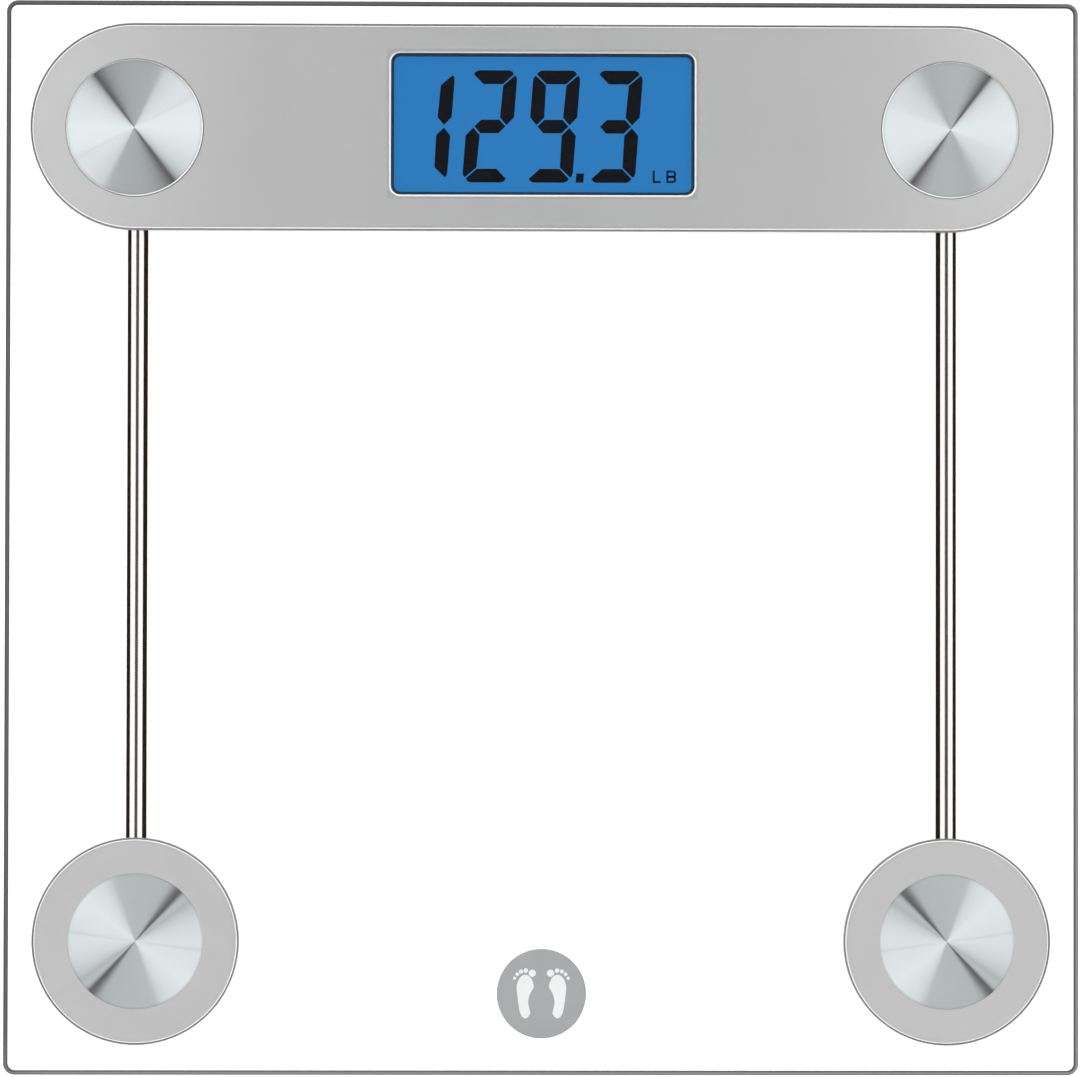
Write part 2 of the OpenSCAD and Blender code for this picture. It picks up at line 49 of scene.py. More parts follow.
FEET = ("front_left", "front_right", "rear_left", "rear_right")


def span(node):
    """Centre and size of a CAD node, in metres."""
    low, high = (Vector(c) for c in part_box(node))
    return (low + high) / 2, high - low


# ---------------------------------------------------------------- materials

class Finish:
    """A Principled material whose node tree is built up call by call."""

    def __init__(self, name, **values):
        self.material = bpy.data.materials.new(name)
        self.material.use_nodes = True
        self.nodes = self.material.node_tree.nodes
        self.links = self.material.node_tree.links
        self.shader = self.nodes["Principled BSDF"]
        for key, value in values.items():
            self.shader.inputs[key.replace("_", " ")].default_value = value

    def add(self, kind, inputs=None, **settings):
        node = self.nodes.new("ShaderNode" + kind)
        for key, value in settings.items():
            setattr(node, key, value)
        for key, value in (inputs or {}).items():
            if isinstance(value, bpy.types.NodeSocket):
                self.links.new(value, node.inputs[key])
            else:
                node.inputs[key].default_value = value
        return node

    def feed(self, socket, output):
        self.links.new(output, self.shader.inputs[socket])

    def place(self):
        return self.add("TexCoord").outputs["Object"]

    def normal(self):
        return self.add("SeparateXYZ", {0: self.add("NewGeometry").outputs["Normal"]})

    def math(self, operation, a, b=0.0):
        return self.add("Math", {0: a, 1: b}, operation=operation).outputs[0]

    def noise(self, scale, detail=3.0, stretch=None):
        at = self.place()
        if stretch:
            at = self.add("VectorMath", {0: at, 1: stretch}, operation="MULTIPLY").outputs[0]
        return self.add("TexNoise", {"Vector": at, "Scale": scale, "Detail": detail}).outputs["Fac"]

    def ramp(self, fac, stops, smooth=True):
        node = self.add("ValToRGB", {"Fac": fac})
        node.color_ramp.interpolation = "EASE" if smooth else "LINEAR"
        elements = node.color_ramp.elements
        while len(elements) < len(stops):
            elements.new(0.5)
        for element, (at, colour) in zip(elements, stops):
            element.position = at
            element.color = (*colour, 1)
        return node.outputs["Color"]

    def mix(self, fac, a, b):
        node = self.add("Mix", data_type="RGBA")
        for index, value in ((0, fac), (6, a), (7, b)):
            if isinstance(value, bpy.types.NodeSocket):
                self.links.new(value, node.inputs[index])
            elif index == 0:
                node.inputs[0].default_value = value
            else:
                node.inputs[index].default_value = (*value, 1)
        return node.outputs[2]

    def between(self, fac, low, high):
        return self.add("MapRange", {"Value": fac, "To Min": low, "To Max": high}).outputs[0]

    def bump(self, height, depth):
        """Raises the surface by up to depth metres where height is 1."""
        node = self.add("Bump", {"Height": height, "Distance": depth, "Strength": 1.0})
        self.feed("Normal", node.outputs["Normal"])


def grey(value, tint=(1, 1, 1)):
    return tuple(value * t for t in tint)


SPUN_TINT = (0.93, 0.985, 1.0)


def moulded_plastic(name, colour, roughness=0.5, grain=0.02, coat=0.0):
    """Injection-moulded plastic with spark-eroded grain and faint handling marks."""
    f = Finish(name, Roughness=roughness, Coat_Weight=coat, Coat_Roughness=0.2)
    cloud = f.noise(90, 5)
    f.feed("Base Color", f.mix(cloud, tuple(c * 0.9 for c in colour),
                               tuple(min(1, c * 1.08) for c in colour)))
    f.feed("Roughness", f.between(f.noise(400, 4), roughness - 0.08, roughness + 0.1))
    f.bump(f.noise(2600, 2), grain * MM)
    return f.material


def satin_with_painted_reflection(name, middle=0.6, quarter=0.64, ends=0.79, half_length=140 * MM):
    """Bead-blasted plate; painted reflection darkens it towards the middle of its length."""
    f = Finish(name, Metallic=1.0)
    along = f.add("SeparateXYZ", {0: f.place()}).outputs["X"]
    out = f.math("DIVIDE", f.math("ABSOLUTE", along), half_length)
    # Painted reflection: brightness set by distance along the plate, darker in the middle
    shade = f.ramp(out, [(0.0, grey(middle)), (0.5, grey(quarter)), (1.0, grey(ends))])
    patches = f.math("MULTIPLY", f.noise(55, 3), 0.16)
    f.feed("Base Color", f.mix(patches, shade, grey(middle * 0.75)))
    f.feed("Roughness", f.between(f.noise(900, 4), 0.36, 0.46))
    f.bump(f.noise(5200, 2), 0.004 * MM)
    return f.material


def polished_metal(name, colour=(0.93, 0.93, 0.92), roughness=0.12):
    f = Finish(name, Metallic=1.0)
    f.feed("Base Color", f.mix(f.noise(240, 3), colour, tuple(c * 0.93 for c in colour)))
    f.feed("Roughness", f.between(f.noise(700, 4), roughness - 0.03, roughness + 0.05))
    return f.material


def spun_metal_painted_rays(name, rays, mirrored):
    """Spun disc with painted reflection: the rays that its fine turned rings throw, painted into
    its colour as (degrees, brightness) over half a turn and repeated on the other side; mirrored
    turns them over."""
    f = Finish(name, Metallic=1.0, Anisotropic=0.2)
    xyz = f.add("SeparateXYZ", {0: f.place()}).outputs
    x = f.math("MULTIPLY", xyz["X"], -1.0) if mirrored else xyz["X"]
    angle = f.math("ARCTAN2", xyz["Y"], x)
    turn = f.math("FRACT", f.math("ADD", f.math("DIVIDE", angle, math.pi), 2.0))
    # Painted reflection: the rays' brightness by angle round the disc
    shade = f.ramp(turn, [(at / 180, grey(value, SPUN_TINT)) for at, value in rays], smooth=False)
    flat = f.add("CombineXYZ", {"X": xyz["X"], "Y": xyz["Y"]}).outputs[0]
    radius = f.add("VectorMath", {0: flat}, operation="LENGTH").outputs["Value"]
    rings = f.add("TexNoise", {"W": radius, "Scale": 3200.0, "Detail": 2.0},
                  noise_dimensions="1D").outputs["Fac"]
    f.feed("Base Color", f.mix(f.math("MULTIPLY", rings, 0.08), shade, grey(0.5, SPUN_TINT)))
    f.feed("Roughness", f.between(rings, 0.46, 0.54))
    f.feed("Tangent", f.add("Tangent", direction_type="RADIAL", axis="Z").outputs[0])
    f.bump(rings, 0.003 * MM)
    return f.material


def painted_tube_reflection(name, colour):
    """Painted reflection: matt dark colour where a plated tube mirrors something dark."""
    f = Finish(name, Roughness=0.6, Specular_IOR_Level=0.0)
    drift = f.noise(60, 3, (1, 0.2, 1))
    f.feed("Base Color", f.mix(drift, tuple(c * 0.92 for c in colour),
                               tuple(c * 1.1 for c in colour)))
    return f.material


def clear_glass(name):
    f = Finish(name, IOR=1.5, Transmission_Weight=1.0, Roughness=0.0)
    f.feed("Base Color", f.mix(f.noise(6, 2), (0.992, 0.994, 0.993), (0.987, 0.991, 0.989)))
    return f.material


def glass_edge_painted_light(name):
    """Ground and polished edge of the glass, with painted reflection and shade set by the
    distance in from its outline.

    A painted dark outer line has inside it a band of painted light and shade, grey at +X and -Y,
    and dark at -X and +Y. The upright middle of the edge has the grey-green of thick glass."""
    f = Finish(name, IOR=1.5, Specular_IOR_Level=0.05)
    place = f.place()
    at = f.add("SeparateXYZ", {0: place}).outputs
    flat = f.add("CombineXYZ", {"X": at["X"], "Y": at["Y"]}).outputs[0]
    quarter = f.add("VectorMath", {0: flat}, operation="ABSOLUTE").outputs[0]
    turn_at = (half - corner, half - corner, 0)
    past = f.add("VectorMath", {0: quarter, 1: turn_at}, operation="SUBTRACT").outputs[0]
    past = f.add("VectorMath", {0: past, 1: (0, 0, 0)}, operation="MAXIMUM").outputs[0]
    reach = f.add("VectorMath", {0: past}, operation="LENGTH").outputs["Value"]
    inset = f.math("DIVIDE", f.math("SUBTRACT", corner, reach), edge_width)
    # Painted light and shade: +X and -Y take the lit ramp, -X and +Y the dark one
    side = f.math("SUBTRACT", at["X"], at["Y"])
    lit = f.add("MapRange", {"Value": side, "From Min": -0.012, "From Max": 0.012}).outputs[0]
    dark_side = f.ramp(inset, [
        (0.0, (0.033, 0.031, 0.031)), (0.28, (0.035, 0.034, 0.033)), (0.45, (0.070, 0.067, 0.066)),
        (0.65, (0.135, 0.132, 0.130)), (1.0, (0.150, 0.147, 0.145))], smooth=False)
    lit_side = f.ramp(inset, [
        (0.0, (0.055, 0.053, 0.052)), (0.3, (0.070, 0.068, 0.067)), (0.42, (0.23, 0.226, 0.224)),
        (0.62, (0.31, 0.305, 0.30)), (0.82, (0.21, 0.206, 0.204)), (1.0, (0.16, 0.157, 0.155))],
        smooth=False)
    top = f.mix(lit, dark_side, lit_side)
    level = f.math("ABSOLUTE", f.normal().outputs["Z"])
    upright = f.add("MapRange", {"Value": level, "From Min": 0.22, "From Max": 0.06}).outputs[0]
    f.feed("Base Color", f.mix(upright, top, (0.105, 0.122, 0.116)))
    f.feed("Roughness", f.between(f.noise(1200, 3, (1, 1, 4)), 0.3, 0.45))
    f.bump(f.noise(900, 3), 0.006 * MM)
    return f.material


def frame_metal(name):
    """Polished frame of the window, with a painted reflection that is duller along its back."""
    f = Finish(name, Metallic=1.0)
    back = f.normal().outputs["Y"]
    bright, dull = (0.93, 0.92, 0.90), (0.64, 0.63, 0.61)
    # Painted reflection: bright where the normal faces the front, dull where it leans back
    f.feed("Base Color", f.ramp(
        back, [(0.0, bright), (0.12, bright), (0.3, dull), (1.0, dull)], smooth=False))
    f.feed("Roughness", f.between(f.noise(700, 4), 0.13, 0.21))
    return f.material


def rubber(name, colour):
    f = Finish(name, Roughness=0.8, Sheen_Weight=0.2)
    f.feed("Base Color", f.mix(f.noise(300, 5), colour, tuple(c * 0.7 for c in colour)))
    f.feed("Roughness", f.between(f.noise(800, 4), 0.68, 0.88))
    f.bump(f.noise(1800, 4), 0.03 * MM)
    return f.material


def brushed_steel(name, colour=(0.55, 0.55, 0.54), stretch=(0.08, 1, 1)):
    f = Finish(name, Metallic=1.0)
    lines = f.noise(2400, 4, stretch)
    f.feed("Base Color", f.mix(lines, colour, tuple(c * 0.8 for c in colour)))
    f.feed("Roughness", f.between(lines, 0.26, 0.42))
    f.bump(lines, 0.006 * MM)
    return f.material


def display_blue(name):
    """Backlit liquid-crystal cell, a little brighter in the middle of its light."""
    blue = (0.027, 0.186, 0.471)
    f = Finish(name, Roughness=0.6, Specular_IOR_Level=0.0, Emission_Strength=1.0)
    centre, size = span("lcd_cell")
    at = f.add("VectorMath", {0: f.place(), 1: centre}, operation="SUBTRACT").outputs[0]
    reach = tuple(1.4 / s for s in size)
    far = f.add("VectorMath", {0: at, 1: reach}, operation="MULTIPLY").outputs[0]
    off = f.add("VectorMath", {0: far}, operation="LENGTH").outputs["Value"]
    glow = f.ramp(off, [(0.0, tuple(1.03 * c for c in blue)), (1.0, tuple(0.9 * c for c in blue))])
    f.feed("Emission Color", glow)
    f.feed("Base Color", f.mix(f.noise(700, 2), tuple(0.22 * c for c in blue),
                               tuple(0.27 * c for c in blue)))
    return f.material


def circuit_board(name):
    """Solder mask over a net of tracks."""
    f = Finish(name, Roughness=0.35, Coat_Weight=0.4)
    cells = f.add("TexVoronoi", {"Vector": f.place(), "Scale": 420.0}, feature="DISTANCE_TO_EDGE")
    track = f.math("LESS_THAN", cells.outputs["Distance"], 0.12)
    f.feed("Base Color", f.mix(track, (0.012, 0.11, 0.045), (0.03, 0.2, 0.085)))
    f.bump(track, 0.02 * MM)
    return f.material


def striped_rubber(name):
    """Conductive strip: thin dark layers in pale rubber."""
    f = Finish(name, Roughness=0.7)
    x = f.add("SeparateXYZ", {0: f.place()}).outputs["X"]
    layer = f.math("LESS_THAN", f.math("FRACT", f.math("MULTIPLY", x, 2500.0)), 0.5)
    f.feed("Base Color", f.mix(layer, (0.55, 0.25, 0.33), (0.03, 0.03, 0.03)))
    return f.material


GLASS = clear_glass("clear_glass")
SATIN = satin_with_painted_reflection("satin_bar")
SATIN_REAR = satin_with_painted_reflection("satin_rear", 0.72, 0.72, 0.73)
ROLLED = polished_metal("rolled_rim")
BEZEL = frame_metal("bezel_chrome")
# Painted shadow: dark blue plastic on the frame's inner slope, where it shades the display
BEZEL_SLOPE_PAINTED_SHADOW = moulded_plastic("bezel_inner", (0.020, 0.046, 0.075), 0.5, 0.002)
CHROME = polished_metal("chrome_tube", (0.98, 0.97, 0.95), 0.07)
# Painted reflections of dark surroundings on the tubes' sides and crest
TUBE_SIDE_PAINTED_REFLECTION = painted_tube_reflection("tube_side", (0.030, 0.015, 0.013))
TUBE_CREST_PAINTED_REFLECTION = painted_tube_reflection("tube_crest", (0.115, 0.09, 0.084))
SILVER = moulded_plastic("silver_moulding", (0.25, 0.25, 0.252), 0.42, 0.006, 0.2)
GREY = moulded_plastic("grey_moulding", (0.17, 0.175, 0.18), 0.55, 0.03)
WHITE = moulded_plastic("white_moulding", (0.72, 0.72, 0.7), 0.45, 0.01)
BLACK = moulded_plastic("black_moulding", (0.02, 0.02, 0.021), 0.45, 0.015)
RED = moulded_plastic("red_insulation", (0.45, 0.02, 0.02), 0.4, 0.005)
PAD = rubber("pad_rubber", (0.055, 0.055, 0.058))
STEEL = brushed_steel("plated_steel")
SPRING = brushed_steel("contact_brass", (0.7, 0.62, 0.42))
LCD = display_blue("lcd_blue")
BOARD = circuit_board("solder_mask")
STRIP = striped_rubber("striped_rubber")


# ---------------------------------------------------------------- shapes

def arc(centre, radius, start, end, steps):
    """Points of an arc, angles in degrees, both ends included."""
    angles = (math.radians(start + (end - start) * i / steps) for i in range(steps + 1))
    return [(centre[0] + radius * math.cos(a), centre[1] + radius * math.sin(a)) for a in angles]


def circle(centre, radius, steps=128):
    return arc(centre, radius, 0, 360, steps)[:-1]


def rounded_rect(centre, width, height, radius, steps=12):
    x, y = centre[:2]
    w, h = width / 2 - radius, height / 2 - radius
    corners = ((w, h, 0), (-w, h, 90), (-w, -h, 180), (w, -h, 270))
    return [p for cx, cy, a in corners for p in arc((x + cx, y + cy), radius, a, a + 90, steps)]


def stadium(centre, width, height, steps=64):
    x, y = centre[:2]
    r = height / 2
    end = width / 2 - r
    return (arc((x + end, y), r, -90, 90, steps) + arc((x - end, y), r, 90, 270, steps))


def new_piece(name, shape, materials, replaces=(), origin=(0, 0, 0)):
    """Adds a mesh or a bmesh to the scene as a piece that rides on the platform."""
    if isinstance(shape, bmesh.types.BMesh):
        bmesh.ops.recalc_face_normals(shape, faces=shape.faces)
        mesh = bpy.data.meshes.new(name)
        shape.to_mesh(mesh)
        shape.free()
    else:
        mesh = shape
    mesh.materials.clear()
    for material in materials:
        mesh.materials.append(material)
    piece = bpy.data.objects.new(name, mesh)
    piece.location = origin
    bpy.context.collection.objects.link(piece)
    bpy.context.view_layer.update()
    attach(piece, "platform")
    if replaces:
        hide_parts(*replaces)
    return piece


def smooth(mesh, angle=30):
    mesh.polygons.foreach_set("use_smooth", [True] * len(mesh.polygons))
    mesh.set_sharp_from_angle(angle=math.radians(angle))


def loft(rings, closed=False, capped=False):
    """Skins a list of rings, each a list of (x, y, z) with the same count.

    closed joins the last ring to the first; capped fills both end rings."""
    bm = bmesh.new()
    loops = [[bm.verts.new(p) for p in ring] for ring in rings]
    count = len(loops[0])
    pairs = list(zip(loops, loops[1:])) + ([(loops[-1], loops[0])] if closed else [])
    for a, b in pairs:
        for i in range(count):
            j = (i + 1) % count
            bm.faces.new((a[i], a[j], b[j], b[i]))
    if capped:
        bm.faces.new(loops[0])
        bm.faces.new(loops[-1])
    return bm


def outline_mesh(name, outlines, low, high):
    """Flat plate filled between outlines, with an outline inside another one as a hole."""
    curve = bpy.data.curves.new(name, "CURVE")
    curve.dimensions = "2D"
    curve.fill_mode = "BOTH"
    for outline in outlines:
        spline = curve.splines.new("POLY")
        spline.points.add(len(outline) - 1)
        for point, (x, y) in zip(spline.points, outline):
            point.co = (x, y, 0, 1)
        spline.use_cyclic_u = True
    curve.extrude = (high - low) / 2
    maker = bpy.data.objects.new(name, curve)
    bpy.context.collection.objects.link(maker)
    bpy.context.view_layer.update()
    filled = maker.evaluated_get(bpy.context.evaluated_depsgraph_get())
    mesh = bpy.data.meshes.new_from_object(filled)
    bpy.data.objects.remove(maker)
    for vertex in mesh.vertices:
        vertex.co.z += (low + high) / 2
    bm = bmesh.new()
    bm.from_mesh(mesh)
    bmesh.ops.remove_doubles(bm, verts=bm.verts, dist=1e-6)
    bm.to_mesh(mesh)
    bm.free()
    return mesh


def polish_rims(mesh, flat=0.995):
    """Gives every face that isn't level the second material."""
    for face in mesh.polygons:
        if abs(face.normal.z) < flat:
            face.material_index = 1


def turned(profile, steps=160):
    """Solid of revolution about Z, from (radius, z) pairs that start and end on the axis."""
    inner = profile[1:-1]
    rings = [[(r * math.cos(2 * math.pi * k / steps), r * math.sin(2 * math.pi * k / steps), z)
              for k in range(steps)] for r, z in inner]
    bm = loft(rings)
    verts = list(bm.verts)
    for (_, z), ring in ((profile[0], verts[:steps]), (profile[-1], verts[-steps:])):
        pole = bm.verts.new((0, 0, z))
        for k in range(steps):
            bm.faces.new((ring[k], ring[(k + 1) % steps], pole))
    return bm


# ---------------------------------------------------------------- glass plate

centre, size = span("glass_platform")
half = size.x / 2
edge_width = 1.2 * MM
corner = 3.2 * MM
rings = []
EDGE_STEPS = 14
for i in range(EDGE_STEPS + 1):
    t = math.radians(-90 + 180 * i / EDGE_STEPS)
    inset = edge_width * (1 - math.cos(t))
    z = centre.z + size.z / 2 * math.sin(t)
    rings.append([(x, y, z) for x, y in rounded_rect(
        (0, 0), 2 * (half - inset), 2 * (half - inset), corner - inset, 10)])
bm = loft(rings, capped=True)
plate = new_piece("glass_plate", bm, [GLASS, glass_edge_painted_light("glass_edge")],
                  replaces=["glass_platform"])
LEVEL = 0.9999
polish_rims(plate.data, flat=LEVEL)
smooth(plate.data, 40)
# The two large faces keep flat normals, or the rim's would tilt what they mirror and bend
for face in plate.data.polygons:
    face.use_smooth = abs(face.normal.z) < LEVEL
plate.visible_shadow = False

film = Finish("clear_film", Alpha=0.04, Roughness=0.1, IOR=1.45)
film.feed("Base Color", film.mix(film.noise(40), (0.9, 0.9, 0.9), (0.8, 0.8, 0.8)))


# ---------------------------------------------------------------- trim

RIM_W, RIM_DROP = 0.42 * MM, 0.2 * MM
FRAME_W = 1.4 * MM
FLANGE = 2.3 * MM
BEZEL_CORNER = 3.1 * MM

bar_centre, bar_size = span("display_trim")
bezel_centre, bezel_size = span("display_bezel")
window = (bezel_size.x - 2 * FLANGE, bezel_size.y - 2 * FLANGE)
bezel_outer = (window[0] + 2 * FRAME_W, window[1] + 2 * FRAME_W)
disc = {foot: span("accent_disc_" + foot) for foot in FEET}


def rimmed_plate(outer, holes, low, high):
    """Flat plate with a sloping bright rim along its outer edge and plain holes.

    outer is a function from an inset into the plate to the outline there."""
    bm = bmesh.new()
    ends = ([], [])
    levels = ((0, low), (0, high - RIM_DROP), (RIM_W, high))
    walls = [[(outer(inset), z) for inset, z in levels]]
    walls += [[(hole, low), (hole, high)] for hole in holes]
    for wall in walls:
        loops = [[bm.verts.new((x, y, z)) for x, y in outline] for outline, z in wall]
        count = len(loops[0])
        for below, above in zip(loops, loops[1:]):
            for i in range(count):
                j = (i + 1) % count
                bm.faces.new((below[i], below[j], above[j], above[i]))
        for edges, loop in zip(ends, (loops[0], loops[-1])):
            edges += [bm.edges.get((loop[i], loop[(i + 1) % count])) for i in range(count)]
    for edges in ends:
        bmesh.ops.triangle_fill(bm, use_beauty=True, edges=edges)
    return bm


def trim_plate(name, node, outer, holes, material):
    """Trim piece in place of a CAD node, with a rim along its outer edge."""
    low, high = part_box(node)
    piece = new_piece(name, rimmed_plate(outer, holes, low[2], high[2]), [material, ROLLED],
                      replaces=[node])
    polish_rims(piece.data)
    smooth(piece.data, 15)


def inward(foot):
    """Direction from a front disc towards the middle of the scale and a little back."""
    return Vector((-math.copysign(0.87, disc[foot][0].x), -0.5))


FRONT_GAP, CRESCENT, REAR_GAP = 0.06 * MM, 0.15 * MM, 0.02 * MM


def front_hole(foot):
    """Hole a little wider than the disc, which rests against its outer side."""
    c, s = disc[foot]
    return circle(c.xy + CRESCENT * inward(foot), s.x / 2 + FRONT_GAP + CRESCENT)


trim_plate("bar_trim", "display_trim",
           lambda inset: stadium(bar_centre, bar_size.x - 2 * inset, bar_size.y - 2 * inset),
           [front_hole(foot) for foot in FEET[:2]]
           + [rounded_rect(bezel_centre, bezel_outer[0], bezel_outer[1], BEZEL_CORNER)], SATIN)
for side in SIDES:
    c, s = span("rear_trim_" + side)
    at, size_at = disc["rear_" + side]
    trim_plate("rear_ring_" + side, "rear_trim_" + side,
               lambda inset, c=c, s=s: circle(c, s.x / 2 - inset, 192),
               [circle(at, size_at.x / 2 + REAR_GAP)], SATIN_REAR)


def disc_rim_painted_highlight(name, towards):
    """Chamfer with a painted highlight on the side that faces the middle of the scale."""
    f = Finish(name, Metallic=1.0)
    at = f.add("VectorMath", {0: f.place()}, operation="NORMALIZE").outputs[0]
    facing = f.add("VectorMath", {0: at, 1: (*towards, 0.0)}, operation="DOT_PRODUCT")
    # Painted highlight: white where the chamfer faces the middle, grey elsewhere
    f.feed("Base Color", f.ramp(f.between(facing.outputs["Value"], 0.5, 1.0), [
        (0.5, grey(0.62)), (0.62, grey(0.7)), (0.75, grey(1.0)), (1.0, grey(1.0))], smooth=False))
    f.feed("Roughness", f.between(f.noise(700, 3), 0.12, 0.2))
    return f.material


# Painted reflection: brightness round half a turn, in degrees, with a crisp grey sector that
# ends in a dark ray
LEFT_PAINTED_RAYS = (
    (0, 1.0), (24, 0.965), (28, 0.86), (32, 0.91), (45, 0.875), (54, 0.8), (60, 0.75),
    (67, 0.495), (73, 0.455), (95, 0.435), (108, 0.385), (116, 0.28), (121, 0.15), (125, 0.03),
    (127, 0.035), (130, 0.36), (133, 0.57), (138, 0.73), (146, 0.84), (156, 0.91), (180, 1.0))
RIGHT_PAINTED_RAYS = (
    (0, 0.97), (18, 0.935), (24, 0.88), (30, 0.85), (45, 0.8), (54, 0.71), (61, 0.58),
    (66, 0.5), (72, 0.47), (90, 0.515), (108, 0.495), (116, 0.39), (120, 0.26), (125, 0.03),
    (127, 0.04), (130, 0.55), (133, 0.72), (140, 0.83), (150, 0.91), (160, 0.95), (180, 0.97))
REAR_PAINTED_RAYS = (
    (0, 0.89), (5, 0.88), (8, 0.79), (11, 0.88), (40, 0.95), (60, 0.835), (67, 0.72), (71, 0.6),
    (75, 0.56), (84, 0.555), (104, 0.545), (119, 0.53), (123, 0.43), (128, 0.13), (131, 0.03),
    (133, 0.05), (136, 0.5), (139, 0.59), (144, 0.51), (150, 0.66), (156, 0.74), (164, 0.82),
    (180, 0.89))


def spun_disc(foot, rays, mirrored, chamfer):
    """Disc with fine turned rings and a chamfer that has a painted highlight on the front discs."""
    c, s = disc[foot]
    radius, low, high = s.x / 2, -s.z / 2, s.z / 2
    pitch, depth = 0.55 * MM, 0.003 * MM
    rings = int((radius - chamfer) / pitch)
    face = []
    for i in range(2 * rings, 0, -1):
        face.append((pitch * i / 2, high - (depth if i % 2 else 0)))
    rim = [(radius, low), (radius, high - chamfer * 0.6), (radius - chamfer, high)]
    profile = [(0, low)] + rim + face + [(0, high)]
    finishes = [spun_metal_painted_rays("spun_" + foot, rays, mirrored), disc_rim_painted_highlight("rim_" + foot, inward(foot))]
    piece = new_piece("spun_disc_" + foot, turned(profile), finishes,
                      replaces=["accent_disc_" + foot], origin=c)
    # Only the front discs' chamfers take the painted highlight
    if foot.startswith("front"):
        polish_rims(piece.data)
    smooth(piece.data, 12)


spun_disc("front_left", LEFT_PAINTED_RAYS, False, 0.3 * MM)
spun_disc("front_right", RIGHT_PAINTED_RAYS, True, 0.3 * MM)
spun_disc("rear_left", REAR_PAINTED_RAYS, True, 0.06 * MM)
spun_disc("rear_right", REAR_PAINTED_RAYS, False, 0.06 * MM)


# ---------------------------------------------------------------- display

low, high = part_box("display_bezel")
top, base = high[2], low[2]
# Inset from the frame's outer edge and height: a bright land that leans out, then a slope in
# painted shadow
profile = [(0, base), (0, top - 0.24 * MM), (0.52 * MM, top), (0.6 * MM, top),
           (0.72 * MM, top - 0.2 * MM), (1.3 * MM, top - 0.9 * MM), (FRAME_W, base)]
LAND_BANDS = 2


def frame_outline(inset):
    width, height = (side - 2 * inset for side in bezel_outer)
    return rounded_rect(bezel_centre, width, height, BEZEL_CORNER - inset * 0.9)


rings = [[(x, y, z) for x, y in frame_outline(inset)] for inset, z in profile]
frame_piece = new_piece("window_frame", loft(rings, closed=True), [BEZEL, BEZEL_SLOPE_PAINTED_SHADOW],
                        replaces=["display_bezel"])
# Faces past the bright land take the painted shadow
for face in frame_piece.data.polygons:
    face.material_index = int(face.index // len(rings[0]) >= LAND_BANDS)
smooth(frame_piece.data, 25)

ink_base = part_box("lcd_cell")[1][2]
INK_DEPTH = 0.03 * MM
INK = Finish("lcd_segments", Roughness=0.7, Specular_IOR_Level=0.0)
INK.feed("Base Color", INK.mix(INK.noise(500, 2), (0.0088, 0.0096, 0.0122),
                               (0.0105, 0.0115, 0.0145)))

digit_w, digit_h, stroke = 13.2 * MM, 31.5 * MM, 3.95 * MM
slant = math.tan(math.radians(4.4))
cut = 0.27 * MM
reading_base = bezel_centre.y - window[1] / 2 + 2.7 * MM
SEGMENTS = {"1": "bc", "2": "abged", "9": "abcdfg", "3": "abcdg"}


def segment_outline(which):
    """Outline of one bar of a seven-segment digit, from its lower left corner."""
    w, h, s, mid, n = digit_w, digit_h, stroke, digit_h / 2, stroke / 2
    if which == "a":
        left = [(3.85 * MM, h - s + 0.1 * MM), (0.98 * MM, h - 1.08 * MM),
                (1.42 * MM, h - 0.4 * MM), (2.3 * MM, h)]
        return left + [(w - x, y) for x, y in reversed(left)]
    if which == "b":
        return [(w - 0.66 * MM, h - 1.43 * MM), (w - 0.17 * MM, h - 1.95 * MM), (w, h - 2.85 * MM),
                (w, mid + 2.6 * MM), (w - n, mid + 0.36 * MM), (w - s, mid + 2.5 * MM),
                (w - s + 0.2 * MM, h - s - cut)]
    if which == "g":
        point, shoulder, half = n + 0.28 * MM, n + 2.1 * MM, 1.9 * MM
        return [(point, mid), (shoulder, mid + half), (w - shoulder, mid + half),
                (w - point, mid), (w - shoulder, mid - half), (shoulder, mid - half)]
    if which == "d":
        return [(x, h - y) for x, y in segment_outline("a")]
    if which == "f":
        return [(w - x, y) for x, y in segment_outline("b")]
    source = "f" if which == "e" else "b"
    return [(x, h - y) for x, y in segment_outline(source)]


def slanted(points, x0):
    return [(x0 + x + slant * (y - digit_h / 2), reading_base + y) for x, y in points]


# Each digit with its middle, and the point's left side, from the middle of the window in mm
READING = (("1", -32.35), ("2", -14.85), ("9", 2.85), ("3", 20.4))
POINT_X = 10.45
outlines = []
for digit, offset in READING:
    left = bezel_centre.x + offset * MM - digit_w / 2
    outlines += [slanted(segment_outline(s), left) for s in SEGMENTS[digit]]
point_w, point_h = 2.15 * MM, 2.6 * MM
outlines.append(slanted([(0, 0), (point_w, 0), (point_w, point_h), (0, point_h)],
                        bezel_centre.x + POINT_X * MM))
unit_h, thin = 3.5 * MM, 0.56 * MM
unit_x = bezel_centre.x + 30.85 * MM
outlines.append([(unit_x + x, reading_base + y) for x, y in (
    (0, 0), (2.2 * MM, 0), (2.2 * MM, thin), (thin, thin), (thin, unit_h), (0, unit_h))])
b_x, b_w = unit_x + 3.85 * MM, 2.75 * MM


def bowl(low, high, inset):
    """One round-ended half of the letter B, drawn inset by half a stroke or more."""
    r = (high - low) / 2 - inset
    mid = reading_base + (low + high) / 2
    end = b_x + b_w - (high - low) / 2
    return [(b_x + inset, mid - r)] + arc((end, mid), r, -90, 90, 8) + [(b_x + inset, mid + r)]


